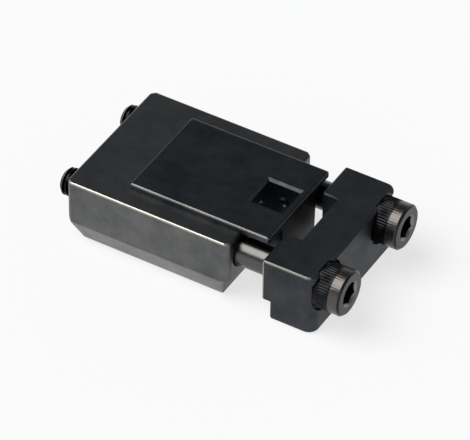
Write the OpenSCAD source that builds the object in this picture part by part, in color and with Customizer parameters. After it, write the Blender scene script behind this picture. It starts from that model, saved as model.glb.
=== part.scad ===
// Adapter that clamps round the shank of a hand wrench and takes a square drive from above.
// X runs from the threaded tips to the cap heads, the front is -Y and Z is up.
// The origin is the bottom centre of the whole part with the jaw at rest.

/* [Body] */
// Length of the body from its left end to the face that looks at the jaw
body_l = 50.7; // [48:0.1:58]
// Height of the body, and of the jaw
body_h = 19.4; // [18:0.1:24]
// Height of the long chamfers along the lower sides of the body
side_chamfer_h = 5.7; // [2:0.1:8]
// How far those chamfers run in at the bottom
side_chamfer_in = 1.9; // [0.5:0.1:4]
// Height of the chamfer under the left end
end_chamfer_h = 7.8; // [2:0.1:10]
// Length of the chamfer under the left end
end_chamfer_l = 5; // [1:0.1:8]
// Chamfer on the upright corners of the body
corner_chamfer = 1.3; // [0.4:0.1:2]

/* [Wrench channel] */
// Height of the channel that holds the wrench shank
channel_h = 5.7; // [4.5:0.1:7]
// Depth of the undercut in the body and in the jaw
channel_in = 2.5; // [1:0.1:4]
// Gap between the body and the jaw at rest
jaw_gap = 10.2; // [9.4:0.1:14]

/* [Jaw] */
// Length of the jaw along X
jaw_l = 15.9; // [13:0.1:22]
// Radius of the outer upright corners of the jaw
jaw_corner_r = 3; // [1:0.1:5]
// Chamfer along the outer top edge of the jaw
jaw_top_chamfer = 0.8; // [0.3:0.1:1.5]
// How far the jaw can close from rest
close_travel = 6; // [2:0.1:7]

/* [Cap screws] */
// Diameter of the screw shank
cap_d = 8; // [6:0.1:8.5]
// Length of the screw under its head
cap_l = 80; // [74:1:90]
// Diameter of the screw head
cap_head_d = 13; // [10:0.1:14]
// Height of the screw head
cap_head_h = 8; // [6:0.1:10]
// Size of the hexagon key across its flats
cap_key = 6; // [4:0.1:7]
// Depth of the key socket
cap_key_depth = 4.2; // [2:0.1:5]
// Distance from the screw axis out to the side of the body and of the jaw
cap_side = 6.95; // [6.6:0.05:12]
// Distance from the screw axis down from the top face
cap_drop = 6.5; // [5.5:0.1:8]
// Length of the threaded stretch in the body
tap_l = 16; // [10:0.5:24]
// Diameter of the spot face under each head
spot_d = 14.5; // [14.2:0.1:15.5]
// Depth of the spot face
spot_depth = 1.1; // [0.5:0.1:3]
// Chamfer at the screw tip
cap_tip_chamfer = 1; // [0.4:0.1:1.5]
// Chamfer round the outer rim of the head
cap_rim_chamfer = 0.6; // [0.2:0.1:1]

/* [Drive block] */
// Width of the raised plate
plate_w = 32.3; // [24:0.1:40]
// Height of the raised plate over the body
plate_h = 2; // [1.2:0.1:4]
// How far the plate runs back from the end of the body
plate_back = 34.4; // [28:0.1:40]
// How far the plate and its tongue reach out past the end of the body
plate_out = 8.6; // [7.5:0.1:9]
// Width of the tongue that stands in the slot
tongue_w = 18; // [16.5:0.1:24]
// Wall between the tongue and the cap screws beside it
screw_wall = 2.3; // [1.5:0.1:6]
// How far the tongue runs back from the end of the body
tongue_back = 26.4; // [25:0.1:30]
// Size of the square drive hole across its flats
drive_sq = 9.6; // [6.4:0.1:10]
// Distance from the end of the body out to the drive axis
drive_out = 1.3; // [0:0.1:2]
// Chamfer round the mouth of the square
mouth_chamfer = 0.7; // [0.3:0.1:1]
// Radius of the ball dimples in the walls of the square
dimple_r = 2; // [1.2:0.1:2.4]
// Depth of the dimples
dimple_depth = 0.8; // [0.4:0.1:1]
// Distance from the top of the plate down to the dimples
dimple_drop = 6; // [4:0.1:8]

/* [Block fixings] */
// Diameter of the screws that hold the drive block
fix_d = 4; // [3:0.1:4.2]
// Head diameter of those screws
fix_head_d = 7.8; // [6:0.1:8]
// Overall length of those screws
fix_l = 11; // [9:0.5:13]
// Key size of those screws across the flats
fix_key = 2.5; // [2:0.1:2.8]
// Depth of their key socket
fix_key_depth = 1.6; // [1:0.1:1.8]
// Distance from the back end of the tongue to the first screws
fix_edge = 5; // [4.5:0.1:6]
// Distance between the screws along X
fix_pitch_x = 12; // [11.6:0.1:13]
// Gap between the screw heads along Y
fix_gap_y = 2.2; // [0.6:0.1:3]
// Depth of the screw heads below the underside
fix_sink = 0.3; // [0.1:0.1:0.6]
// Diameter of the dowel pins
pin_d = 3; // [2:0.1:3.2]
// Length of the dowel pins
pin_l = 8; // [6:0.1:10]
// How deep the pins stand in the body
pin_in = 3.2; // [2:0.1:3.6]
// Chamfer on the ends of the pins
pin_chamfer = 0.3; // [0.1:0.1:0.5]

/* [Clearances] */
// Radial clearance of the cap screws in the threads of the body
thread_clear = 0.05; // [0.02:0.01:0.1]
// Radial clearance of the cap screws in the jaw
jaw_clear = 0.08; // [0.02:0.01:0.1]
// Radial clearance of the cap screws in the rest of the body
body_clear = 0.25; // [0.1:0.05:0.5]
// Clearance round the tongue in its slot
slot_clear = 0.05; // [0.02:0.01:0.1]
// Clearance between the jaw and the block that it slides round
pocket_clear = 0.3; // [0.2:0.05:0.5]
// Radial clearance of the block screws
fix_clear = 0.05; // [0.03:0.01:0.1]
// Radial clearance of the dowel pins
pin_clear = 0.02; // [0.01:0.01:0.05]

/* [Hidden] */
$fn = 96;
// Overrun of every cut past the face that it opens
cut_over = 1;
// Places along X, counted from the left end of the body
jaw_x = body_l + jaw_gap;
end_x = jaw_x + jaw_l;
seat_x = end_x - spot_depth;
tip_x = seat_x - cap_l;
head_x = seat_x + cap_head_h;
mid_x = (tip_x + head_x) / 2;
plate_x0 = body_l - plate_back;
plate_x1 = body_l + plate_out;
tongue_x0 = body_l - tongue_back;
drive_x = body_l + drive_out;
pocket_x1 = plate_x1 + close_travel + pocket_clear;
// Places of the screws across and up, and the width that they give the body and the jaw
cap_y = tongue_w / 2 + screw_wall + cap_d / 2;
body_w = 2 * (cap_y + cap_side);
cap_z = body_h - cap_drop;
plate_top = body_h + plate_h;
// Height of the cone of a countersunk head, at 90 degrees
fix_cone_h = (fix_head_d - fix_d) / 2;
// Middle of the screw pattern, which is also the line of the pins
fix_mid_x = tongue_x0 + fix_edge + fix_pitch_x / 2;
fix_pitch_y = fix_head_d + fix_gap_y;
fix_places = [for (sx = [-1, 1], sy = [-1, 1]) [fix_mid_x + sx * fix_pitch_x / 2, sy * fix_pitch_y / 2]];
pin_places = [for (sy = [-1, 1]) [fix_mid_x, sy * fix_pitch_y / 2]];
body_color = "#3a3c3d";
block_color = "#2c2e2f";
screw_color = "#1d1e1f";
pin_color = "#b9bbbc";

// Puts a piece that is drawn from the left end of the body into the part's own frame
module in_frame() {
    translate([-mid_x, 0, 0]) children();
}

// Prism with an outline in X and Z, centred on Y
module prism_y(outline, width) {
    translate([0, width / 2, 0]) rotate([90, 0, 0]) linear_extrude(height = width) polygon(outline);
}

// Prism with an outline in Y and Z, from x0 on along X
module prism_x(outline, x0, length) {
    translate([x0, 0, 0]) rotate([90, 0, 90]) linear_extrude(height = length) polygon(outline);
}

// Box between two X and two Z places, centred on Y
module slab(x0, x1, width, z0, z1) {
    translate([x0, -width / 2, z0]) cube([x1 - x0, width, z1 - z0]);
}

// Round bore along X on both screw axes
module screw_bores(x0, x1, radius) {
    for (side = [-1, 1])
        translate([x0, side * cap_y, cap_z]) rotate([0, 90, 0]) cylinder(h = x1 - x0, r = radius);
}

// Body: chamfered block with a slot for the tongue and an undercut for the wrench
module main_body() {
    side_outline = [[end_chamfer_l, 0], [body_l - channel_in, 0], [body_l - channel_in, channel_h],
                    [body_l, channel_h], [body_l, body_h], [0, body_h], [0, end_chamfer_h]];
    half_w = body_w / 2;
    foot_w = half_w - side_chamfer_in;
    end_outline = [[-foot_w, 0], [foot_w, 0], [half_w, side_chamfer_h], [half_w, body_h],
                   [-half_w, body_h], [-half_w, side_chamfer_h]];
    corner_w = half_w - corner_chamfer;
    plan_outline = [[corner_chamfer, -half_w], [body_l - corner_chamfer, -half_w], [body_l, -corner_w],
                    [body_l, corner_w], [body_l - corner_chamfer, half_w], [corner_chamfer, half_w],
                    [0, corner_w], [0, -corner_w]];
    color(body_color) in_frame() difference() {
        intersection() {
            prism_y(side_outline, body_w);
            prism_x(end_outline, 0, body_l);
            linear_extrude(height = body_h) polygon(plan_outline);
        }
        slab(tongue_x0 - slot_clear, body_l + cut_over, tongue_w + 2 * slot_clear, channel_h,
             body_h + cut_over);
        screw_bores(-cut_over, tap_l, cap_d / 2 + thread_clear);
        screw_bores(tap_l, body_l + cut_over, cap_d / 2 + body_clear);
        for (place = fix_places) translate(place) fix_hole();
        for (place = pin_places) translate(place) pin_hole();
    }
}

// Countersunk hole from below, through the body's floor and on into the tongue
module fix_hole() {
    hole_r = fix_d / 2 + fix_clear;
    head_r = fix_head_d / 2 + fix_clear;
    translate([0, 0, -cut_over]) cylinder(h = fix_sink + cut_over, r = head_r);
    translate([0, 0, fix_sink]) cylinder(h = fix_cone_h, r1 = head_r, r2 = hole_r);
    cylinder(h = fix_sink + fix_l + fix_sink, r = hole_r);
}

// Blind hole for a dowel pin, half in the body's floor and half in the tongue
module pin_hole() {
    translate([0, 0, channel_h - pin_in - pin_chamfer])
        cylinder(h = pin_l + 2 * pin_chamfer, r = pin_d / 2 + pin_clear);
}

// Square hole with a chamfered mouth and a ball dimple in each wall
module drive_hole() {
    half_sq = drive_sq / 2;
    mouth_top = plate_top + cut_over;
    mouth_half = half_sq + mouth_chamfer + cut_over;
    mouth_low = plate_top - mouth_chamfer;
    mouth_outline = [[-half_sq, mouth_low], [half_sq, mouth_low], [mouth_half, mouth_top],
                     [-mouth_half, mouth_top]];
    translate([drive_x, 0, 0]) {
        slab(-half_sq, half_sq, drive_sq, channel_h - cut_over, mouth_top);
        intersection() {
            prism_y(mouth_outline, 2 * mouth_half);
            prism_x(mouth_outline, -mouth_half, 2 * mouth_half);
        }
        for (turn = [0 : 90 : 270]) rotate([0, 0, turn])
            translate([half_sq + dimple_depth - dimple_r, 0, plate_top - dimple_drop])
                sphere(r = dimple_r);
    }
}

// Drive block: low wide plate over a narrow deep tongue
module drive_block() {
    color(block_color) in_frame() difference() {
        union() {
            slab(plate_x0, body_l, plate_w, body_h, plate_top);
            slab(plate_x0, plate_x1, plate_w, body_h + pocket_clear, plate_top);
            slab(tongue_x0, plate_x1, tongue_w, channel_h, plate_top);
        }
        drive_hole();
        for (place = fix_places) translate(place) fix_hole();
        for (place = pin_places) translate(place) pin_hole();
    }
}

// Jaw: block with rounded outer corners, a pocket for the tongue and two guide bores
module clamp_jaw() {
    low_x = jaw_x + channel_in;
    side_outline = [[low_x, 0], [end_x, 0], [end_x, body_h - jaw_top_chamfer],
                    [end_x - jaw_top_chamfer, body_h], [jaw_x, body_h], [jaw_x, channel_h],
                    [low_x, channel_h]];
    core_l = jaw_l - jaw_corner_r;
    corner_y = body_w / 2 - jaw_corner_r;
    color(body_color) in_frame() difference() {
        intersection() {
            prism_y(side_outline, body_w);
            linear_extrude(height = body_h) translate([jaw_x, 0]) {
                translate([0, -body_w / 2]) square([core_l, body_w]);
                translate([0, -corner_y]) square([jaw_l, 2 * corner_y]);
                for (side = [-1, 1]) translate([core_l, side * corner_y]) circle(r = jaw_corner_r);
            }
        }
        slab(jaw_x - cut_over, pocket_x1, tongue_w + 2 * pocket_clear, channel_h - pocket_clear,
             body_h + cut_over);
        screw_bores(jaw_x - cut_over, end_x + cut_over, cap_d / 2 + jaw_clear);
        screw_bores(seat_x, end_x + cut_over, spot_d / 2);
    }
}

// Hexagon socket of a given key size, cut along +Z from 0
module key_socket(key, depth) {
    translate([0, 0, -cut_over]) cylinder(h = depth + cut_over, r = key / sqrt(3), $fn = 6);
}

// Long cap screw; its head points to +X
module cap_screw(side) {
    shank_r = cap_d / 2;
    head_r = cap_head_d / 2;
    outline = [[0, 0], [head_r - cap_rim_chamfer, 0], [head_r, cap_rim_chamfer], [head_r, cap_head_h],
               [shank_r, cap_head_h], [shank_r, cap_head_h + cap_l - cap_tip_chamfer],
               [shank_r - cap_tip_chamfer, cap_head_h + cap_l], [0, cap_head_h + cap_l]];
    color(screw_color) in_frame() translate([head_x, side * cap_y, cap_z]) rotate([0, -90, 0])
        difference() {
            rotate_extrude() polygon(outline);
            key_socket(cap_key, cap_key_depth);
        }
}

module cap_screw_front() {
    cap_screw(-1);
}

module cap_screw_rear() {
    cap_screw(1);
}

// Countersunk screw, driven from below
module block_screw(place) {
    shank_r = fix_d / 2;
    tip_r = shank_r - pin_chamfer;
    outline = [[0, 0], [fix_head_d / 2, 0], [shank_r, fix_cone_h], [shank_r, fix_l - pin_chamfer],
               [tip_r, fix_l], [0, fix_l]];
    color(screw_color) in_frame() translate([place.x, place.y, fix_sink]) difference() {
        rotate_extrude() polygon(outline);
        key_socket(fix_key, fix_key_depth);
    }
}

// Dowel pin with chamfered ends
module dowel_pin(place) {
    pin_r = pin_d / 2;
    end_r = pin_r - pin_chamfer;
    outline = [[0, 0], [end_r, 0], [pin_r, pin_chamfer], [pin_r, pin_l - pin_chamfer], [end_r, pin_l],
               [0, pin_l]];
    color(pin_color) in_frame() translate([place.x, place.y, channel_h - pin_in])
        rotate_extrude() polygon(outline);
}

main_body();
drive_block();
clamp_jaw();
cap_screw_front();
cap_screw_rear();
for (i = [0 : 3]) block_screw(fix_places[i]);
for (i = [0 : 1]) dowel_pin(pin_places[i]);
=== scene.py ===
"""Looks of the torque wrench adapter: its machined pieces, their finish, and the studio round them."""

import math
from types import SimpleNamespace

import bmesh
import bpy
from bpy.props import FloatProperty, FloatVectorProperty, IntProperty, PointerProperty
from bpy.types import Operator, Panel, PropertyGroup
from mathutils import Matrix, Quaternion, Vector


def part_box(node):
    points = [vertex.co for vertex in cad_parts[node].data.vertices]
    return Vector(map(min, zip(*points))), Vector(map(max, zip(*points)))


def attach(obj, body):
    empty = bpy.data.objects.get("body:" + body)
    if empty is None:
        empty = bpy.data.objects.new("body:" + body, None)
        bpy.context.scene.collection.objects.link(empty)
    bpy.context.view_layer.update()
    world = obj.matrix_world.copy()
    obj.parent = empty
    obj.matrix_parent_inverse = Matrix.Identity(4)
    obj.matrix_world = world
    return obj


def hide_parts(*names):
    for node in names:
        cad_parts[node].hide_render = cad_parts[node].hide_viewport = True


bl_info = {
    "name": "Torque wrench adapter",
    "version": (1, 0, 0),
    "blender": (4, 5, 0),
    "location": "View3D > Sidebar > Adapter",
    "description": "Builds the pieces of a torque wrench adapter round its packed frame",
    "category": "Object",
}

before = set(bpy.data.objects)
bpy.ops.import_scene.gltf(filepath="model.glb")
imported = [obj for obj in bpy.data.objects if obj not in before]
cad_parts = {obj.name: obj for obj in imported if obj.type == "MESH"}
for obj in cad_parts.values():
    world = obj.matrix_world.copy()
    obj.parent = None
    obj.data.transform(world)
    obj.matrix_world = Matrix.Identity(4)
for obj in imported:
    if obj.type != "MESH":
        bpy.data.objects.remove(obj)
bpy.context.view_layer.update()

MM = 0.001
TURN = 2 * math.pi
AXES = {"X": Vector((1, 0, 0)), "Y": Vector((0, 1, 0)), "Z": Vector((0, 0, 1))}
SIDES = {"front": -1, "rear": 1}

# Millimetres: points nearer than MERGE are one, points nearer than ON_PLANE to a cut lie on it, and tools
# run OVER past what they cut.
MERGE = 0.0005
ON_PLANE = 0.00005
OVER = 1.0

# An edge steeper than SHARP gets broken. An edge of a piece is shaded as a crease from FLAT, or from SHARP
# on a screw, and from ROUND beside a broken edge. Faces within ONE_PLANE of each other are one face.
SHARP = math.radians(35)
FLAT = math.radians(10)
ROUND = math.radians(50)
ONE_PLANE = math.radians(0.5)

# Faces round a turned shape, round a block screw, its hole or the floor, round a pin hole, to one turn of a
# thread, round a spot face, and round and up the ball of a dimple.
TURNED_STEPS = 96
SMALL_STEPS = 64
PIN_STEPS = 48
THREAD_STEPS = 48
SPOT_STEPS = 128
BALL_STEPS = (40, 24)
# Faces across a broken edge and a rounded corner, and round and along one groove of the knurling.
BREAK_STEPS = 3
CORNER_STEPS = 12
KNURL_STEPS = 6
KNURL_STATIONS = 6

# The vertex attribute that tells how much an edge gets rubbed. Up to 1, more of its oxide is gone, and over
# 1 it is that many times as bright, a painted highlight on top of the wear. Its values are those along the
# top at the sides and at the ends, and for each piece those of its upright corners and of the rest of its
# edges.
WEAR = "wear"
TOP_SIDE_WEAR = 1.0
TOP_END_WEAR = 0.3
BODY_WEAR = (0.1, 0.1)
# The jaw's upright corners go over 1: a painted highlight, brighter than their wear alone gives.
JAW_WEAR_AND_GLINT = (3.0, 0.2)
BLOCK_WEAR = (0.6, 0.2)

# One pitch of the thread: share of the way along it, and share of the way from root to crest.
THREAD_SHAPE = ((0, 0), (0.2, 0), (0.5, 1), (0.7, 1), (1, 0))
# Millimetres on the cap screws: run-out step under the shank, broken edge at the seat, and how far the
# threaded rod ends before the shank's full width. Then the broken rim of the countersunk heads.
NECK = 0.5
SEAT_BREAK = 0.25
ROD_BACK = 0.2
RIM_BREAK = 0.12

# Bumps to the metre in the patterns of the finishes, and shares of the length that stretch their lines.
CLOUD_SCALE = 120
GRAIN_SCALE = 2600
MILLING_SCALE = 5200
RUB_SCALE = 420
SCREW_CLOUD_SCALE = 240
TURNING_SCALE = 6000
GRINDING_SCALE = 9000
MILLED_ALONG = (0.03, 1, 1)
TURNED_ROUND = (1, 0.05, 0.05)
GROUND_ROUND = (0.05, 0.05, 1)

# How far noise shifts the border of the rubbed steel, how far the clouds vary the lighter tone painted on
# the long chamfers as their reflection of the floor, how much of the deep tone the grain brings, how high
# the grain stands beside the milling marks, and how much each pattern changes the roughness.
RAGGED = 0.8
CHAMFER_CLOUDS = 1.0
GRAIN_SHARE = 0.35
GRAIN_HEIGHT = 0.6
CLOUD_ROUGH = 0.08
MILLING_ROUGH = 0.22
SCREW_CLOUD_ROUGH = 0.1
TURNING_ROUGH = 0.06
GRINDING_ROUGH = 0.12

# Metres: height of the bumps that the marks make, and width over which one finish runs into the next.
MILLING_BUMP = 0.00002
TURNING_BUMP = 0.00001
CHAMFER_BLEND = 0.0001
STRETCH_BLEND = 0.0002
RING_BLEND = 0.0001

# Stage: width of the camera's sensor in millimetres, radius of the floor and how far it lies below the
# part in metres, and the heights between which the sky dims, as the sine of the angle above the horizon.
SENSOR = 36
FLOOR_R = 3
FLOOR_DROP = 0.00005
SKY_LOW = 0.08
SKY_HIGH = 0.55


def box_mm(node):
    """Lowest and highest corner of a CAD node, in millimetres."""
    low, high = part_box(node)
    return low / MM, high / MM


BODY_LOW, BODY_HIGH = box_mm("main_body")
JAW_LOW, JAW_HIGH = box_mm("clamp_jaw")
BLOCK_LOW, BLOCK_HIGH = box_mm("drive_block")
SCREW_LOW, SCREW_HIGH = box_mm("cap_screw_rear")
FIX_BOXES = {f"block_screw_{number}": box_mm(f"block_screw_{number}") for number in range(1, 5)}
PIN_BOXES = [box_mm(f"dowel_pin_{number}") for number in (1, 2)]


def length(name, description, default):
    """A length that a user can set, its default given in millimetres."""
    return FloatProperty(name=name, description=description, default=default * MM, min=0, precision=5,
                         unit="LENGTH")


def tint(name, description, default):
    """A colour that a user can set."""
    return FloatVectorProperty(name=name, description=description, default=default, size=3, min=0, max=1,
                               subtype="COLOR")


def amount(name, description, default, high=1.0):
    """A plain number that a user can set."""
    return FloatProperty(name=name, description=description, default=default, min=0, max=high)


class AdapterSizes(PropertyGroup):
    """Sizes of the machined pieces that their boxes don't give"""

    side_chamfer_h: length("Side chamfer height", "Height of the long lower chamfers of the body", 5.7)
    side_chamfer_in: length("Side chamfer run-in", "How far those chamfers run in at the bottom", 1.9)
    end_chamfer_h: length("End chamfer height", "Height of the chamfer under the left end", 7.8)
    end_chamfer_l: length("End chamfer length", "Length of the chamfer under the left end", 5)
    corner_chamfer: length("Corner chamfer", "Chamfer on the upright corners of the body", 1.3)
    channel_h: length("Channel height", "Height of the channel for the wrench shank", 5.7)
    channel_in: length("Channel undercut", "Depth of the undercut in body and jaw", 2.5)
    jaw_corner_r: length("Jaw corner radius", "Radius of the outer corners of the jaw", 3)
    jaw_top_chamfer: length("Jaw top chamfer", "Chamfer along the outer top edge of the jaw", 0.8)
    pocket_depth: length("Pocket depth", "How far the jaw's pocket runs in for the tongue", 4.7)
    pocket_gap: length("Pocket gap", "Clearance round the tongue in the jaw, and under the plate", 0.3)
    slot_gap: length("Slot gap", "Clearance round the tongue in the body", 0.05)
    tongue_w: length("Tongue width", "Width of the tongue under the plate", 18)
    tongue_l: length("Tongue length", "Length of the tongue", 35)
    drive_sq: length("Square", "Size of the square drive hole across its flats", 9.6)
    drive_back: length("Square position", "From the outer end of the plate back to the drive axis", 7.3)
    mouth_chamfer: length("Mouth chamfer", "Chamfer round the mouth of the square", 0.7)
    dimple_r: length("Dimple radius", "Radius of the ball dimples in the square", 2)
    dimple_depth: length("Dimple depth", "Depth of the ball dimples", 0.8)
    dimple_drop: length("Dimple drop", "From the top of the plate down to the dimples", 6)
    edge_break: length("Edge break", "Width of the broken edges of the machined pieces", 0.68)
    bore_flare: length("Bore flare", "Width of the chamfer at each bore's mouth", 0.35)
    spot_r: length("Spot face radius", "Radius of the spot face under each head", 7.25)
    spot_depth: length("Spot face depth", "Depth of the spot face", 1.1)


class ScrewSizes(PropertyGroup):
    """Sizes of the screws and of their holes"""

    shank_r: length("Shank radius", "Radius of the cap screw's shank", 4)
    head_h: length("Head height", "Height of the cap screw's head", 8)
    key: length("Key", "Hexagon key of the cap screw across its flats", 6)
    key_depth: length("Key depth", "Depth of the key socket", 4.2)
    key_flare: length("Key flare", "Width of the chamfer outside the corners of the key socket", 0.25)
    rim: length("Rim chamfer", "Chamfer round the outer rim of the head", 0.6)
    tip: length("Tip chamfer", "Chamfer at the tip of the screw", 1)
    pitch: length("Pitch", "Thread pitch", 1.25)
    thread_l: length("Thread length", "Length of the threaded end", 28)
    thread_depth: length("Thread depth", "Depth of the thread", 0.72)
    tap_l: length("Tapped length", "Length of the tapped stretch of the body's bores", 16)
    thread_gap: length("Thread clearance", "Radial clearance between the threads", 0.05)
    tap_gap: length("Core clearance", "Radial clearance of the drilled core round the thread's root", 0.15)
    body_gap: length("Body clearance", "Radial clearance in the rest of the body", 0.25)
    jaw_gap: length("Jaw clearance", "Radial clearance in the jaw", 0.08)
    knurl_start: length("Knurl start", "From the seat of the head to the knurling", 0.7)
    knurl_end: length("Knurl end", "From the seat of the head to the end of the knurling", 4.6)
    knurl_depth: length("Knurl depth", "Depth of the knurling", 0.16)
    knurls: IntProperty(name="Knurls", description="Grooves round the head", default=54, min=12)
    fix_r: length("Block screw radius", "Radius of the countersunk screws", 2)
    fix_key: length("Block screw key", "Key of the countersunk screws across its flats", 2.5)
    fix_key_depth: length("Block screw key depth", "Depth of that socket", 1.6)
    fix_gap: length("Block screw clearance", "Radial clearance of the countersunk screws", 0.05)
    fix_tip: length("Block screw tip", "Chamfer at the tip of the countersunk screws", 0.3)
    pin_gap: length("Pin clearance", "Radial clearance of the dowel pins", 0.02)
    pin_end: length("Pin room", "Room past each end of a pin in its hole", 0.3)


class AdapterFinish(PropertyGroup):
    """Colours and gloss of the finishes"""

    oxide: tint("Oxide", "Black oxide on the body", (0.152, 0.152, 0.149))
    oxide_deep: tint("Deep oxide", "Darker clouds in that oxide", (0.080, 0.083, 0.088))
    # Painted reflection: a lighter tone on the long lower chamfers stands for the pale floor that they
    # reflect.
    chamfer_reflection_tone: tint("Chamfer reflection", "Lighter tone painted on the long chamfers as their reflection of the floor", (0.250, 0.250, 0.250))
    # Darker than the body's oxide: partly a darker finish, partly painted shade over the whole jaw.
    jaw_oxide_and_shade: tint("Jaw oxide", "Black oxide on the jaw, darkened partly by painted shade", (0.060, 0.064, 0.069))
    block_oxide: tint("Block oxide", "Black oxide on the drive block", (0.080, 0.085, 0.092))
    # Used by jaw and block; on the jaw it is darkened like the jaw's oxide, partly as painted shade.
    deep_oxide_and_jaw_shade: tint("Dark deep oxide", "Darker clouds in the oxide of jaw and block", (0.032, 0.036, 0.042))
    screw_oxide: tint("Screw oxide", "Oiled oxide on the screws", (0.015, 0.015, 0.016))
    end_oxide: tint("Screw end oxide", "Oxide on the flat end of the head", (0.028, 0.028, 0.028))
    # Painted highlight: the smooth band of the head gets a lighter, warm tone for the highlight on it.
    band_highlight_tone: tint("Band highlight", "Lighter brownish tone on the head's band, a painted highlight", (0.095, 0.087, 0.082))
    shank_oxide: tint("Shank oxide", "Thin oxide on the plain shank", (0.100, 0.098, 0.094))
    bare_steel: tint("Bare steel", "Steel where the oxide is rubbed through", (0.62, 0.58, 0.50))
    ground_steel: tint("Ground steel", "Bright ground pins", (0.55, 0.56, 0.57))
    ground_line: tint("Grinding lines", "Darker lines round the pins", (0.42, 0.43, 0.44))
    oxide_rough: amount("Oxide roughness", "Roughness of the oxide", 0.38)
    jaw_rough: amount("Jaw roughness", "Roughness of the oxide on the jaw", 0.5)
    screw_rough: amount("Screw roughness", "Roughness of the screws", 0.32)
    shank_gloss: amount("Shank gloss", "How much less rough the plain shank is", 0.04)
    pin_rough: amount("Pin roughness", "Roughness of the pins", 0.2)
    # How far that painted reflection of the floor covers the long chamfers.
    chamfer_reflection_share: amount("Chamfer reflection share", "How far the painted reflection covers the long chamfers", 0.8)
    body_shine: amount("Body wear", "How bright the rubbed edges of the body are", 0.52)
    jaw_shine: amount("Jaw wear", "How bright the rubbed edges of the jaw are", 0.3)
    block_shine: amount("Block wear", "How bright the rubbed edges of the drive block are", 0.14)
    # The ring round each key socket is partly wear by the key and partly a painted highlight on its chamfer.
    key_wear_and_glint: amount("Key wear and glint", "How bright the mouths of the key sockets are, rubbed and painted as a highlight", 0.3)


class StageSettings(PropertyGroup):
    """Camera, light and floor"""

    eye: FloatVectorProperty(name="Eye", description="Place of the camera", subtype="TRANSLATION",
                             unit="LENGTH", default=(0.4666, -0.8015, 0.8257))
    aim: FloatVectorProperty(name="Aim", description="Point that the camera looks at",
                             subtype="TRANSLATION", unit="LENGTH", default=(0.0005, -0.001, 0.008))
    roll: FloatProperty(name="Roll", description="Tilt of the camera about its own axis", subtype="ANGLE",
                        default=math.radians(0.8), min=-math.pi, max=math.pi)
    lens: FloatProperty(name="Lens", description="Focal length on a 36 mm sensor", default=353, min=20,
                        max=2000)
    floor: tint("Floor", "Colour of the floor", (0.95, 0.95, 0.95))
    floor_white: amount("Floor white", "Share of plain white in the floor that is seen", 0.72)
    key_power: amount("Key light", "Strength of the soft key light", 2.7, 100)
    key_from: FloatVectorProperty(name="Key light direction", description="Where the key light comes from",
                                  subtype="DIRECTION", default=(-0.42, -0.30, 0.86))
    key_angle: FloatProperty(name="Key light width", description="Angle that the soft key light spans",
                             subtype="ANGLE", default=math.radians(50), min=0, max=math.pi)
    sky: amount("Sky", "Strength of the light from overhead", 0.09, 4)
    sky_tint: tint("Sky tint", "Colour of the light from overhead", (0.80, 0.92, 1.0))
    horizon: amount("Horizon", "Strength of the light from the sides", 1.0, 4)


def in_mm(group):
    """The lengths of a group in millimetres, by name."""
    return SimpleNamespace(**{name: getattr(group, name) / MM for name in group.__annotations__})


class Socket:
    """A shader value; sums and products with it add Math nodes to its material."""

    def __init__(self, graph, out):
        self.graph = graph
        self.out = out

    def math(self, operation, *values):
        return self.graph.node("ShaderNodeMath", {"operation": operation}, dict(enumerate(values)))

    def __add__(self, other):
        return self.math("ADD", self, other)

    def __radd__(self, other):
        return self.math("ADD", other, self)

    def __sub__(self, other):
        return self.math("SUBTRACT", self, other)

    def __rsub__(self, other):
        return self.math("SUBTRACT", other, self)

    def __mul__(self, other):
        return self.math("MULTIPLY", self, other)

    def __rmul__(self, other):
        return self.math("MULTIPLY", other, self)

    def size(self):
        return self.math("ABSOLUTE", self)

    def root(self):
        return self.math("SQRT", self)

    def most(self, other):
        return self.math("MAXIMUM", self, other)


class Graph:
    """Adds nodes to the tree of a new material or of the world."""

    def __init__(self, owner):
        owner.use_nodes = True
        self.tree = owner.node_tree
        self.tree.nodes.clear()

    def node(self, kind, settings=None, inputs=None, out=0):
        """One node: its type, its settings, the values or links of its sockets, and the output used."""
        made = self.tree.nodes.new(kind)
        for name, value in (settings or {}).items():
            setattr(made, name, value)
        for name, value in (inputs or {}).items():
            if isinstance(value, Socket):
                self.tree.links.new(value.out, made.inputs[name])
            else:
                made.inputs[name].default_value = value
        return Socket(self, made.outputs[out]) if len(made.outputs) else None

    def mix(self, factor, low, high):
        """Colour between low and high, at factor 0 and 1."""
        full = [value if isinstance(value, Socket) else (*value, 1) for value in (low, high)]
        return self.node("ShaderNodeMix", {"data_type": "RGBA"}, {0: factor, 6: full[0], 7: full[1]}, 2)

    def between(self, value, low, high):
        """0 where value is under low, 1 where it is over high, and smooth in between."""
        return self.node("ShaderNodeMapRange", {"interpolation_type": "SMOOTHSTEP"},
                         {"Value": value, "From Min": low, "From Max": high})

    def noise(self, place, scale, detail, roughness):
        """Noise from 0 to 1, its scale in bumps to the metre."""
        return self.node("ShaderNodeTexNoise", None,
                         {"Vector": place, "Scale": scale, "Detail": detail, "Roughness": roughness})

    def here(self):
        """Place on the piece."""
        return self.node("ShaderNodeTexCoord", out=3)

    def along(self, place, axis):
        """How far a place lies along an axis."""
        return self.node("ShaderNodeSeparateXYZ", None, {0: place}, "XYZ".index(axis))

    def bump(self, height, strength, distance):
        """Surface direction with bumps in it."""
        return self.node("ShaderNodeBump", None,
                         {"Strength": strength, "Distance": distance, "Height": height})

    def stretch(self, place, scale):
        """Place with each axis scaled by its own share."""
        return self.node("ShaderNodeMapping", None, {"Vector": place, "Scale": scale})

    def surface(self, **inputs):
        """Ends the material in a Principled shader."""
        named = {name.replace("_", " "): value for name, value in inputs.items()}
        shader = self.node("ShaderNodeBsdfPrincipled", None, named)
        self.node("ShaderNodeOutputMaterial", None, {"Surface": shader})


def material(name, build, *values):
    """A material by name, built the first time that it is asked for."""
    found = bpy.data.materials.get(name)
    if not found:
        found = bpy.data.materials.new(name)
        build(Graph(found), *values)
    return found


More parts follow.
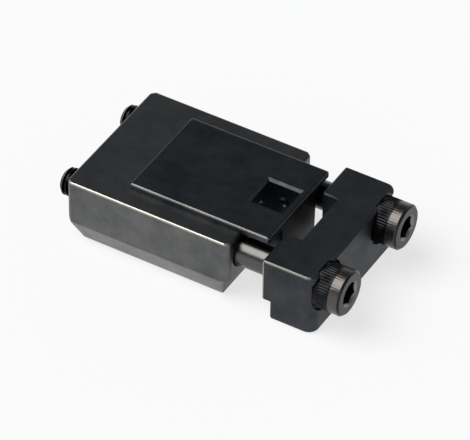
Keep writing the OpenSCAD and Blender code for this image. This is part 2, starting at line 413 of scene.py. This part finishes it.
def oxide_steel(graph, finish, light, deep, rough, shine, chamfer=None):
    """Milled steel with a cloudy black oxide, rubbed bright along its exposed edges; wear over 1 adds a
    painted highlight.

    Under the height and outside the width in chamfer, in metres, a lighter tone is painted as the floor's
    reflection.
    """
    here = graph.here()
    if chamfer:
        height, width = chamfer
        half = CHAMFER_BLEND / 2
        flanks = ((1 - graph.between(graph.along(here, "Z"), height - half, height + half))
                  * graph.between(graph.along(here, "Y").size(), width, width + CHAMFER_BLEND))
    clouds = graph.noise(here, CLOUD_SCALE, detail=5, roughness=0.65)
    grain = graph.noise(here, GRAIN_SCALE, detail=2, roughness=0.5)
    marks = graph.noise(graph.stretch(here, MILLED_ALONG), MILLING_SCALE, detail=2, roughness=0.5)
    rub = graph.noise(here, RUB_SCALE, detail=4, roughness=0.65)
    edge = graph.node("ShaderNodeAttribute", {"attribute_name": WEAR}, out=2)
    # Bare steel on the rubbed edges; where the wear is over 1, as at the jaw's upright corners, it is also a
    # painted highlight.
    bare_and_glint = graph.between(edge + (rub - 0.5) * RAGGED, low=0.36, high=0.56) * edge.most(1.0) * shine
    colour = graph.mix(graph.between(clouds, low=0.25, high=0.8), light, deep)
    colour = graph.mix(graph.between(grain, low=0.35, high=0.75) * GRAIN_SHARE, colour, deep)
    # Painted reflection: the long lower chamfers get a lighter tone that stands for the pale floor they
    # face.
    if chamfer:
        share = finish.chamfer_reflection_share - (clouds - 0.5) * CHAMFER_CLOUDS
        colour = graph.mix(flanks * share, colour, finish.chamfer_reflection_tone)
    colour = graph.mix(bare_and_glint, colour, finish.bare_steel)
    rough = rough + (clouds - 0.5) * CLOUD_ROUGH + (marks - 0.5) * MILLING_ROUGH
    bumps = graph.bump(marks + grain * GRAIN_HEIGHT, strength=0.35, distance=MILLING_BUMP)
    graph.surface(Base_Color=colour, Metallic=1.0, Roughness=rough, Normal=bumps)


def screw_steel(graph, finish, stretches=(), ring=None):
    """Oiled black oxide on screws along X.

    Each stretch of (start, end, tone, gloss) has its own colour, and less roughness by its gloss. A ring of
    (axis, low radius, high radius, start) round both screws is painted bright: partly wear by the key,
    partly a painted highlight on the socket's chamfer.
    """
    here = graph.here()
    along, across, height = (graph.along(here, axis) for axis in "XYZ")
    clouds = graph.noise(here, SCREW_CLOUD_SCALE, detail=3, roughness=0.6)
    lines = graph.noise(graph.stretch(here, TURNED_ROUND), TURNING_SCALE, detail=2, roughness=0.5)
    thin = graph.between(clouds, low=0.58, high=0.78)
    colour = graph.mix(thin, finish.screw_oxide, finish.end_oxide)
    rough = finish.screw_rough + (clouds - 0.5) * SCREW_CLOUD_ROUGH + (lines - 0.5) * TURNING_ROUGH
    for start, end, tone, gloss in stretches:
        inside = (graph.between(along, start, start + STRETCH_BLEND)
                  * (1 - graph.between(along, end, end + STRETCH_BLEND)))
        colour = graph.mix(inside, colour, tone)
        rough = rough - inside * gloss
    if ring:
        axis, low, high, start = ring
        over = across.size() - axis.y
        up = height - axis.z
        radius = (over * over + up * up).root()
        # Bright ring round the socket: partly wear by the key, partly a painted highlight.
        rubbed_and_glint = (graph.between(radius, low - RING_BLEND, low)
                  * (1 - graph.between(radius, high, high + RING_BLEND))
                  * graph.between(along, start, start + RING_BLEND))
        colour = graph.mix(rubbed_and_glint * finish.key_wear_and_glint, colour, finish.bare_steel)
    bumps = graph.bump(lines, strength=0.12, distance=TURNING_BUMP)
    graph.surface(Base_Color=colour, Metallic=1.0, Roughness=rough, Normal=bumps)


def pin_steel(graph, finish):
    """Bright steel with fine grinding lines round the pin."""
    place = graph.stretch(graph.here(), GROUND_ROUND)
    lines = graph.noise(place, GRINDING_SCALE, detail=2, roughness=0.5)
    colour = graph.mix(lines, finish.ground_steel, finish.ground_line)
    graph.surface(Base_Color=colour, Metallic=1.0, Roughness=finish.pin_rough + lines * GRINDING_ROUGH)


def floor_paint(graph, colour, share):
    """Matt pale floor that is seen nearly white with its shadows kept, and is clear from below."""
    camera, gloss, clear = (graph.node("ShaderNodeLightPath", out=f"Is {kind} Ray")
                            for kind in ("Camera", "Glossy", "Transmission"))
    matt = graph.node("ShaderNodeBsdfDiffuse", None, {"Color": (*colour, 1)})
    white = graph.node("ShaderNodeEmission", None, {"Color": (1, 1, 1, 1), "Strength": 1.0})
    pale = graph.node("ShaderNodeMixShader", None,
                      {0: camera.most(gloss).most(clear) * share, 1: matt, 2: white})
    below = graph.node("ShaderNodeNewGeometry", out="Backfacing")
    glass = graph.node("ShaderNodeBsdfTransparent")
    both = graph.node("ShaderNodeMixShader", None, {0: below, 1: pale, 2: glass})
    graph.node("ShaderNodeOutputMaterial", None, {"Surface": both})


def sky_light(graph, settings):
    """World that is white at the horizon and dims towards the top."""
    direction = graph.node("ShaderNodeTexCoord", out=0)
    dim = graph.between(graph.along(direction, "Z"), SKY_LOW, SKY_HIGH)
    strength = dim * (settings.sky - settings.horizon) + settings.horizon
    light = graph.node("ShaderNodeBackground", None,
                       {"Color": graph.mix(dim, (1, 1, 1), settings.sky_tint), "Strength": strength})
    graph.node("ShaderNodeOutputWorld", None, {"Surface": light})


def prism(axis, outline, low, high):
    """Solid with an outline across one axis, from low to high along it."""
    solid = bmesh.new()
    order = {"X": lambda u, v: (low, u, v), "Y": lambda u, v: (u, low, v), "Z": lambda u, v: (u, v, low)}
    face = solid.faces.new([solid.verts.new(order[axis](u, v)) for u, v in outline])
    grown = bmesh.ops.extrude_face_region(solid, geom=[face])
    moved = [item for item in grown["geom"] if isinstance(item, bmesh.types.BMVert)]
    bmesh.ops.translate(solid, verts=moved, vec=AXES[axis] * (high - low))
    bmesh.ops.recalc_face_normals(solid, faces=solid.faces)
    return solid


def slab(low, high):
    """Box between two corners."""
    return prism("Z", [(low[0], low[1]), (high[0], low[1]), (high[0], high[1]), (low[0], high[1])],
                 low[2], high[2])


def turned(outline, steps=TURNED_STEPS):
    """Solid turned about X from (place, radius) pairs that start and end on the axis."""
    solid = bmesh.new()
    verts = [solid.verts.new((place, 0, radius)) for place, radius in outline]
    edges = [solid.edges.new(pair) for pair in zip(verts, verts[1:])]
    bmesh.ops.spin(solid, geom=verts + edges, cent=(0, 0, 0), axis=AXES["X"], angle=TURN, steps=steps,
                   use_merge=True)
    bmesh.ops.remove_doubles(solid, verts=solid.verts, dist=MERGE)
    bmesh.ops.recalc_face_normals(solid, faces=solid.faces)
    return solid


def moved(solid, offset):
    """The solid after a move."""
    bmesh.ops.translate(solid, verts=solid.verts, vec=offset)
    return solid


def upright(solid, offset):
    """A solid turned about X, stood on end along Z and moved."""
    bmesh.ops.rotate(solid, verts=solid.verts, cent=(0, 0, 0), matrix=Matrix.Rotation(-TURN / 4, 3, "Y"))
    return moved(solid, offset)


def slice_off(solid, point, outwards):
    """Cuts off what lies outwards of a plane, and closes the cut."""
    cut = bmesh.ops.bisect_plane(solid, geom=[*solid.verts, *solid.edges, *solid.faces], dist=ON_PLANE,
                                 plane_co=point, plane_no=Vector(outwards).normalized(), clear_outer=True)
    rim = [item for item in cut["geom_cut"] if isinstance(item, bmesh.types.BMEdge)]
    bmesh.ops.holes_fill(solid, edges=rim, sides=0)


def joined(solid, tool, operation="DIFFERENCE"):
    """The solid after a boolean with a tool; both are used up."""
    blanks = []
    for shape in (solid, tool):
        mesh = bpy.data.meshes.new("blank")
        shape.to_mesh(mesh)
        shape.free()
        blanks.append(bpy.data.objects.new("blank", mesh))
        bpy.context.scene.collection.objects.link(blanks[-1])
    change = blanks[0].modifiers.new("change", "BOOLEAN")
    change.operation = operation
    change.solver = "EXACT"
    change.object = blanks[1]
    bpy.context.view_layer.update()
    shaped = bpy.data.meshes.new_from_object(blanks[0].evaluated_get(bpy.context.evaluated_depsgraph_get()))
    result = bmesh.new()
    result.from_mesh(shaped)
    bmesh.ops.remove_doubles(result, verts=result.verts, dist=MERGE)
    for mesh in [shaped, *(blank.data for blank in blanks)]:
        bpy.data.meshes.remove(mesh)
    return result


def tidy_flats(solid):
    """Joins the faces that lie in one plane."""
    bmesh.ops.dissolve_limit(solid, angle_limit=ONE_PLANE, verts=solid.verts, edges=solid.edges)


def scored(solid, axis, place):
    """Adds a line round the solid across an axis, where the wear along its edges can change."""
    bmesh.ops.bisect_plane(solid, geom=[*solid.verts, *solid.edges, *solid.faces], dist=ON_PLANE,
                           plane_co=AXES[axis] * place, plane_no=AXES[axis])


def break_edges(solid, width, wear, wanted=lambda edge: True):
    """Bevels the sharp outer edges, and tells for the middle of each bevel how much it gets rubbed, with a
    painted highlight where that goes over 1.
    """
    scored(solid, "Z", max(vert.co.z for vert in solid.verts) - 2 * width)
    edges = [edge for edge in solid.edges
             if edge.is_convex and edge.calc_face_angle(0) > SHARP and wanted(edge)]
    made = bmesh.ops.bevel(solid, geom=edges, offset=width, offset_type="OFFSET", affect="EDGES",
                           segments=BREAK_STEPS, profile=0.5, material=-1, clamp_overlap=True)
    fresh = set(made["faces"])
    marks = {}
    low = Vector(min(vert.co[axis] for vert in solid.verts) for axis in range(3))
    high = Vector(max(vert.co[axis] for vert in solid.verts) for axis in range(3))
    for vert in solid.verts:
        if all(face in fresh for face in vert.link_faces):
            marks[spot(vert.co)] = rubbing(vert.co, low, high, width, wear)
    return marks


def spot(place):
    """Place rounded to a thousandth of a millimetre."""
    return tuple(round(value, 3) for value in place)


def rubbing(place, low, high, width, wear):
    """How much an edge is rubbed, over 1 also a painted highlight: by its place on top, or as wear tells for
    the rest.
    """
    corner, rest = wear
    side = min(place.y - low.y, high.y - place.y) < width
    end = min(place.x - low.x, high.x - place.x) < width
    if high.z - place.z < width:
        return TOP_SIDE_WEAR if side else TOP_END_WEAR
    return corner if side and end else rest


def piece(name, solid, finish, body, nodes, marks=None, crease=FLAT):
    """Makes a solid drawn in millimetres a shown piece that stands for CAD nodes."""
    bmesh.ops.remove_doubles(solid, verts=solid.verts, dist=MERGE)
    bmesh.ops.dissolve_degenerate(solid, edges=solid.edges, dist=MERGE)
    if any(not edge.is_manifold for edge in solid.edges):
        raise RuntimeError(f"{name} isn't closed")
    wear = solid.verts.layers.float.new(WEAR)
    for vert in solid.verts:
        vert[wear] = (marks or {}).get(spot(vert.co), 0)
    bmesh.ops.scale(solid, verts=solid.verts, vec=(MM, MM, MM))
    for face in solid.faces:
        face.smooth = True
    for edge in solid.edges:
        corners = [vert for face in edge.link_faces for vert in face.verts]
        broken = any(vert[wear] > 0 for vert in corners)
        edge.smooth = edge.calc_face_angle(0) < (ROUND if broken else crease)
    mesh = bpy.data.meshes.new(name)
    solid.to_mesh(mesh)
    solid.free()
    mesh.materials.append(finish)
    made = bpy.data.objects.new(name, mesh)
    bpy.context.scene.collection.objects.link(made)
    shade = made.modifiers.new("even shading", "WEIGHTED_NORMAL")
    shade.keep_sharp = True
    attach(made, body)
    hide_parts(*nodes)
    return made


def bore(low, high, radius, flare):
    """Tool for a through bore along X, with a chamfer at each mouth."""
    wide = radius + flare + OVER
    return turned([(low - OVER, 0), (low - OVER, wide), (low + flare, radius), (high - flare, radius),
                   (high + OVER, wide), (high + OVER, 0)])


def hexagon(key, low, high):
    """Tool for a key socket along X."""
    return turned([(low, 0), (low, key / math.sqrt(3)), (high, key / math.sqrt(3)), (high, 0)], 6)


def screw_hole(low, high, sizes):
    """Tool for a countersunk block screw: its own outline, with clearance, and room past its tip."""
    radius = sizes.fix_r + sizes.fix_gap
    head = (high.x - low.x) / 2 + sizes.fix_gap
    outline = [(-OVER, 0), (-OVER, head), (low.z, head), (low.z + head - radius, radius),
               (high.z + low.z, radius), (high.z + low.z, 0)]
    return upright(turned(outline, SMALL_STEPS), ((low.x + high.x) / 2, (low.y + high.y) / 2, 0))


def block_holes(solid, sizes):
    """The solid after the holes for the block screws and the pins."""
    for low, high in FIX_BOXES.values():
        solid = joined(solid, screw_hole(low, high, sizes))
    for low, high in PIN_BOXES:
        radius = (high.x - low.x) / 2 + sizes.pin_gap
        ends = (low.z - sizes.pin_end, high.z + sizes.pin_end)
        hole = turned([(ends[0], 0), (ends[0], radius), (ends[1], radius), (ends[1], 0)], PIN_STEPS)
        solid = joined(solid, upright(hole, ((low.x + high.x) / 2, (low.y + high.y) / 2, 0)))
    return solid


def screw_axis(side):
    """Place of a cap screw's axis across and up."""
    across = (SCREW_LOW.y + SCREW_HIGH.y) / 2
    return Vector((0, side * across, (SCREW_LOW.z + SCREW_HIGH.z) / 2))


class ADAPTER_OT_body(Operator):
    """Body with its slot, chamfers, screw bores and channel undercut"""

    bl_idname = "adapter.body"
    bl_label = "Body"

    def execute(self, context):
        sizes = in_mm(context.scene.adapter_sizes)
        screws = in_mm(context.scene.adapter_screws)
        finish = context.scene.adapter_finish
        low, high = BODY_LOW, BODY_HIGH
        under = high.x - sizes.channel_in
        side = [(low.x, low.z), (under, low.z), (under, sizes.channel_h), (high.x, sizes.channel_h),
                (high.x, high.z), (low.x, high.z)]
        half = sizes.tongue_w / 2 + sizes.slot_gap
        start = BLOCK_HIGH.x - sizes.tongue_l - sizes.slot_gap
        solid = joined(prism("Y", side, low.y, high.y),
                       slab((start, -half, sizes.channel_h), (high.x + OVER, half, high.z + OVER)))
        tidy_flats(solid)
        for way in SIDES.values():
            for end, out in ((low.x, -1), (high.x, 1)):
                slice_off(solid, (end, way * (high.y - sizes.corner_chamfer), 0), (out, way, 0))
            slice_off(solid, (0, way * high.y, sizes.side_chamfer_h),
                      (0, way * sizes.side_chamfer_h, -sizes.side_chamfer_in))
        marks = break_edges(solid, sizes.edge_break, BODY_WEAR)
        slice_off(solid, (low.x, 0, sizes.end_chamfer_h), (-sizes.end_chamfer_h, 0, -sizes.end_chamfer_l))
        for way in SIDES.values():
            axis = screw_axis(way)
            tapped = low.x + screws.tap_l
            core = screws.shank_r - screws.thread_depth + screws.tap_gap
            drilled = bore(low.x, tapped, core, screws.thread_depth + sizes.bore_flare)
            solid = joined(solid, moved(drilled, axis))
            tap = thread(SCREW_LOW.x, tapped + OVER, screws, screws.thread_gap)
            solid = joined(solid, moved(tap, axis))
            wide = bore(tapped, high.x, screws.shank_r + screws.body_gap, sizes.bore_flare)
            solid = joined(solid, moved(wide, axis))
        solid = block_holes(solid, screws)
        # Where the long chamfers get their painted reflection of the floor.
        chamfer = (sizes.side_chamfer_h * MM, (high.y - sizes.side_chamfer_in) * MM)
        steel = material("black oxide with painted chamfer reflection on the body", oxide_steel, finish, finish.oxide, finish.oxide_deep,
                         finish.oxide_rough, finish.body_shine, chamfer)
        piece("machined_body", solid, steel, "body", ["main_body"], marks)
        return {"FINISHED"}


class ADAPTER_OT_jaw(Operator):
    """Clamp jaw with its pocket, guide bores, spot faces and channel undercut"""

    bl_idname = "adapter.jaw"
    bl_label = "Clamp jaw"

    def execute(self, context):
        sizes = in_mm(context.scene.adapter_sizes)
        screws = in_mm(context.scene.adapter_screws)
        finish = context.scene.adapter_finish
        low, high = JAW_LOW, JAW_HIGH
        solid = slab(low, high)
        corners = [edge for edge in solid.edges
                   if all(vert.co.x > high.x - MERGE for vert in edge.verts)
                   and abs(edge.verts[0].co.z - edge.verts[1].co.z) > MERGE]
        bmesh.ops.bevel(solid, geom=corners, offset=sizes.jaw_corner_r, offset_type="OFFSET",
                        affect="EDGES", segments=CORNER_STEPS, profile=0.5, material=-1)
        solid = joined(solid, slab((low.x - OVER, low.y - OVER, low.z - OVER),
                                   (low.x + sizes.channel_in, high.y + OVER, sizes.channel_h)))
        half = sizes.tongue_w / 2 + sizes.pocket_gap
        solid = joined(solid, slab((low.x - OVER, -half, sizes.channel_h - sizes.pocket_gap),
                                   (low.x + sizes.pocket_depth, half, high.z + OVER)))
        tidy_flats(solid)
        step = sizes.channel_h + MERGE
        # The jaw's upright corners take a painted highlight over their wear.
        marks = break_edges(solid, sizes.edge_break, JAW_WEAR_AND_GLINT, lambda edge: not all(
            abs(vert.co.y) < half + MERGE and vert.co.z < step for vert in edge.verts))
        slice_off(solid, (high.x, 0, high.z - sizes.jaw_top_chamfer), (1, 0, 1))
        for way in SIDES.values():
            axis = screw_axis(way)
            seat = high.x - sizes.spot_depth
            guide = bore(low.x, high.x + OVER, screws.shank_r + screws.jaw_gap, sizes.bore_flare)
            solid = joined(solid, moved(guide, axis))
            face = turned([(seat, 0), (seat, sizes.spot_r), (high.x + OVER, sizes.spot_r),
                           (high.x + OVER, 0)], SPOT_STEPS)
            solid = joined(solid, moved(face, axis))
        # The jaw's darker oxide is partly a darker finish and partly painted shade.
        steel = material("black oxide and painted shade on the jaw", oxide_steel, finish, finish.jaw_oxide_and_shade, finish.deep_oxide_and_jaw_shade,
                         finish.jaw_rough, finish.jaw_shine)
        piece("machined_jaw", solid, steel, "jaw", ["clamp_jaw"], marks)
        return {"FINISHED"}


class ADAPTER_OT_block(Operator):
    """Drive block: raised plate, deep tongue and square drive hole"""

    bl_idname = "adapter.block"
    bl_label = "Drive block"

    def execute(self, context):
        sizes = in_mm(context.scene.adapter_sizes)
        screws = in_mm(context.scene.adapter_screws)
        finish = context.scene.adapter_finish
        low, high = BLOCK_LOW, BLOCK_HIGH
        bed = BODY_HIGH.z
        step = bed + sizes.pocket_gap
        side = [(low.x, bed), (BODY_HIGH.x, bed), (BODY_HIGH.x, step), (high.x, step),
                (high.x, high.z), (low.x, high.z)]
        half = sizes.tongue_w / 2
        tongue = slab((high.x - sizes.tongue_l, -half, low.z), (high.x, half, step + OVER))
        solid = joined(prism("Y", side, low.y, high.y), tongue, "UNION")
        tidy_flats(solid)
        for way in SIDES.values():
            scored(solid, "Y", way * (high.y - 2 * sizes.edge_break))
        marks = break_edges(solid, sizes.edge_break, BLOCK_WEAR, lambda edge: not all(
            bed - MERGE < vert.co.z < step + MERGE for vert in edge.verts))
        drive = Vector((high.x - sizes.drive_back, 0, 0))
        across = sizes.drive_sq / 2
        square = slab((drive.x - across, -across, low.z - OVER), (drive.x + across, across, high.z + OVER))
        solid = joined(solid, square)
        mouth = bmesh.new()
        wide = across + sizes.mouth_chamfer + OVER
        place = Matrix.Translation(drive + Vector((0, 0, high.z + OVER - wide / 2)))
        bmesh.ops.create_cone(mouth, cap_ends=True, segments=4, radius1=0, radius2=wide * math.sqrt(2),
                              depth=wide, matrix=place @ Matrix.Rotation(TURN / 8, 4, "Z"))
        solid = joined(solid, mouth)
        for quarter in range(4):
            way = Matrix.Rotation(quarter * TURN / 4, 3, "Z") @ AXES["X"]
            centre = drive + way * (across + sizes.dimple_depth - sizes.dimple_r)
            centre.z = high.z - sizes.dimple_drop
            ball = bmesh.new()
            bmesh.ops.create_uvsphere(ball, u_segments=BALL_STEPS[0], v_segments=BALL_STEPS[1],
                                      radius=sizes.dimple_r, matrix=Matrix.Translation(centre))
            solid = joined(solid, ball)
        solid = block_holes(solid, screws)
        steel = material("black oxide on the drive block", oxide_steel, finish, finish.block_oxide,
                         finish.deep_oxide_and_jaw_shade, finish.oxide_rough, finish.block_shine)
        piece("machined_drive_block", solid, steel, "body", ["drive_block"], marks)
        return {"FINISHED"}


def thread(tip, end, sizes, gap=0):
    """Solid threaded rod along X from tip to end, right-handed, or the tool for its hole with a gap."""
    root = sizes.shank_r - sizes.thread_depth + gap
    pitch = sizes.pitch
    turns = math.ceil((end - tip) / pitch) + 2
    solid = bmesh.new()
    verts = [solid.verts.new((tip - pitch + share * pitch, 0, root + rise * sizes.thread_depth))
             for share, rise in THREAD_SHAPE]
    edges = [solid.edges.new(pair) for pair in zip(verts, verts[1:])]
    bmesh.ops.spin(solid, geom=verts + edges, cent=(0, 0, 0), axis=AXES["X"],
                   dvec=AXES["X"] * (pitch / THREAD_STEPS), angle=TURN * turns,
                   steps=THREAD_STEPS * turns)
    bmesh.ops.remove_doubles(solid, verts=solid.verts, dist=MERGE)
    bmesh.ops.recalc_face_normals(solid, faces=solid.faces)
    slice_off(solid, (tip, 0, 0), (-1, 0, 0))
    slice_off(solid, (end, 0, 0), (1, 0, 0))
    bmesh.ops.recalc_face_normals(solid, faces=solid.faces)
    return solid


class ADAPTER_OT_cap_screws(Operator):
    """Long cap screws: knurled head, key socket, plain shank and threaded end"""

    bl_idname = "adapter.cap_screws"
    bl_label = "Cap screws"

    def execute(self, context):
        sizes = in_mm(context.scene.adapter_screws)
        finish = context.scene.adapter_finish
        knurls = context.scene.adapter_screws.knurls
        head_end, tip = SCREW_HIGH.x, SCREW_LOW.x
        seat = head_end - sizes.head_h
        head_r = (SCREW_HIGH.z - SCREW_LOW.z) / 2
        run_out = tip + sizes.thread_l
        corner = sizes.key / math.sqrt(3)
        wide = corner + sizes.key_flare
        rim = head_end - sizes.rim
        # The band's lighter, warm tone is a painted highlight.
        stretches = [(run_out * MM, (seat - sizes.pitch) * MM, finish.shank_oxide, finish.shank_gloss),
                     ((seat + sizes.knurl_end) * MM, rim * MM, finish.band_highlight_tone, 0),
                     (rim * MM, (head_end + OVER) * MM, finish.end_oxide, 0)]
        # Ring round the key socket: partly wear by the key, partly a painted highlight on its chamfer.
        ring = (screw_axis(1) * MM, sizes.key / 2 * MM, wide * MM, rim * MM)
        steel = material("oiled oxide and painted highlights on the cap screws", screw_steel, finish, stretches, ring)
        span = (sizes.knurl_end - sizes.knurl_start) / KNURL_STATIONS
        stations = [seat + sizes.knurl_start + count * span for count in range(KNURL_STATIONS + 1)]
        for name, side in SIDES.items():
            outline = [(run_out - sizes.pitch, 0), (run_out - sizes.pitch, sizes.shank_r - NECK),
                       (run_out, sizes.shank_r), (seat, sizes.shank_r), (seat, head_r - SEAT_BREAK),
                       (seat + SEAT_BREAK, head_r)]
            outline += [(station, head_r) for station in stations]
            outline += [(rim, head_r), (head_end, head_r - sizes.rim), (head_end, 0)]
            solid = turned(outline, knurls * KNURL_STEPS)
            for vert in solid.verts:
                if stations[0] + MERGE < vert.co.x < stations[-1] - MERGE:
                    angle = math.atan2(vert.co.z, vert.co.y)
                    groove = sizes.knurl_depth * (1 - math.cos(angle * knurls)) / 2
                    vert.co.yz = vert.co.yz * (1 - groove / head_r)
            bmesh.ops.recalc_face_normals(solid, faces=solid.faces)
            rod = thread(tip, run_out - ROD_BACK, sizes)
            point = turned([(tip - OVER, 0), (tip - OVER, sizes.shank_r - sizes.tip - OVER),
                            (tip + sizes.tip, sizes.shank_r),
                            (tip + sizes.tip + OVER, sizes.shank_r + OVER),
                            (run_out, sizes.shank_r + OVER), (run_out, 0)])
            rod = joined(rod, point, "INTERSECT")
            solid = joined(solid, rod, "UNION")
            socket = hexagon(sizes.key, head_end - sizes.key_depth, head_end + OVER)
            solid = joined(solid, socket)
            mouth = turned([(head_end - wide, 0), (head_end + OVER, wide + OVER), (head_end + OVER, 0)])
            solid = joined(solid, mouth)
            piece(f"threaded_cap_screw_{name}", moved(solid, screw_axis(side)), steel,
                  f"screw_{name}", [f"cap_screw_{name}"], crease=SHARP)
        return {"FINISHED"}


class ADAPTER_OT_block_screws(Operator):
    """Countersunk screws that hold the drive block from below"""

    bl_idname = "adapter.block_screws"
    bl_label = "Block screws"

    def execute(self, context):
        sizes = in_mm(context.scene.adapter_screws)
        steel = material("oiled oxide on the block screws", screw_steel, context.scene.adapter_finish)
        for node, (low, high) in FIX_BOXES.items():
            head = (high.x - low.x) / 2
            end = high.z - low.z
            outline = [(0, 0), (0, head - RIM_BREAK), (RIM_BREAK, head), (head - sizes.fix_r, sizes.fix_r),
                       (end - sizes.fix_tip, sizes.fix_r), (end, sizes.fix_r - sizes.fix_tip), (end, 0)]
            socket = hexagon(sizes.fix_key, -OVER, sizes.fix_key_depth)
            solid = joined(turned(outline, SMALL_STEPS), socket)
            place = ((low.x + high.x) / 2, (low.y + high.y) / 2, low.z)
            piece(node.replace("block", "countersunk"), upright(solid, place), steel, "body",
                  [node], crease=SHARP)
        return {"FINISHED"}


class ADAPTER_OT_pins(Operator):
    """Ground steel on the dowel pins between body and drive block"""

    bl_idname = "adapter.pins"
    bl_label = "Dowel pins"

    def execute(self, context):
        steel = material("ground steel on the pins", pin_steel, context.scene.adapter_finish)
        for number in (1, 2):
            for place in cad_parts[f"dowel_pin_{number}"].material_slots:
                place.material = steel
        return {"FINISHED"}


class ADAPTER_OT_stage(Operator):
    """Pale floor, soft light and the camera"""

    bl_idname = "adapter.stage"
    bl_label = "Stage"

    def execute(self, context):
        scene = context.scene
        settings = scene.adapter_stage
        ground = bmesh.new()
        bmesh.ops.create_circle(ground, cap_ends=True, segments=SMALL_STEPS, radius=FLOOR_R)
        mesh = bpy.data.meshes.new("floor")
        ground.to_mesh(mesh)
        ground.free()
        mesh.materials.append(material("matt floor", floor_paint, settings.floor, settings.floor_white))
        floor = bpy.data.objects.new("floor", mesh)
        floor.location.z = -FLOOR_DROP
        scene.collection.objects.link(floor)

        scene.world = scene.world or bpy.data.worlds.new("studio")
        sky_light(Graph(scene.world), settings)
        lamp = bpy.data.lights.new("key", "SUN")
        lamp.angle = settings.key_angle
        lamp.energy = settings.key_power
        key = bpy.data.objects.new("key", lamp)
        key.location = settings.key_from
        key.rotation_euler = (-key.location).to_track_quat("-Z", "Y").to_euler()
        scene.collection.objects.link(key)

        lens = bpy.data.cameras.new("camera")
        lens.lens = settings.lens
        lens.sensor_width = SENSOR
        camera = bpy.data.objects.new("camera", lens)
        camera.location = settings.eye
        look = Vector(settings.aim) - Vector(settings.eye)
        tilt = Quaternion(AXES["Z"], settings.roll)
        camera.rotation_euler = (look.to_track_quat("-Z", "Y") @ tilt).to_euler()
        scene.collection.objects.link(camera)
        scene.camera = camera
        scene.view_settings.view_transform = "Standard"
        return {"FINISHED"}


class ADAPTER_PT_panel(Panel):
    """Sizes, finishes and operators of the adapter"""

    bl_idname = "ADAPTER_PT_panel"
    bl_label = "Torque wrench adapter"
    bl_space_type = "VIEW_3D"
    bl_region_type = "UI"
    bl_category = "Adapter"

    def draw(self, context):
        for operator in OPERATORS:
            self.layout.operator(operator.bl_idname)
        for name, group in GROUPS.items():
            box = self.layout.box()
            box.label(text=group.__doc__)
            for prop in group.__annotations__:
                box.prop(getattr(context.scene, name), prop)


GROUPS = {"adapter_sizes": AdapterSizes, "adapter_screws": ScrewSizes, "adapter_finish": AdapterFinish,
          "adapter_stage": StageSettings}
OPERATORS = (ADAPTER_OT_body, ADAPTER_OT_jaw, ADAPTER_OT_block, ADAPTER_OT_cap_screws,
             ADAPTER_OT_block_screws, ADAPTER_OT_pins, ADAPTER_OT_stage)
CLASSES = (*GROUPS.values(), *OPERATORS, ADAPTER_PT_panel)


def register():
    for cls in CLASSES:
        bpy.utils.register_class(cls)
    for name, group in GROUPS.items():
        setattr(bpy.types.Scene, name, PointerProperty(type=group))


def unregister():
    for name in GROUPS:
        delattr(bpy.types.Scene, name)
    for cls in reversed(CLASSES):
        bpy.utils.unregister_class(cls)


def main():
    register()
    for operator in OPERATORS:
        group, name = operator.bl_idname.split(".")
        getattr(getattr(bpy.ops, group), name)()


if __name__ == "__main__":
    main()
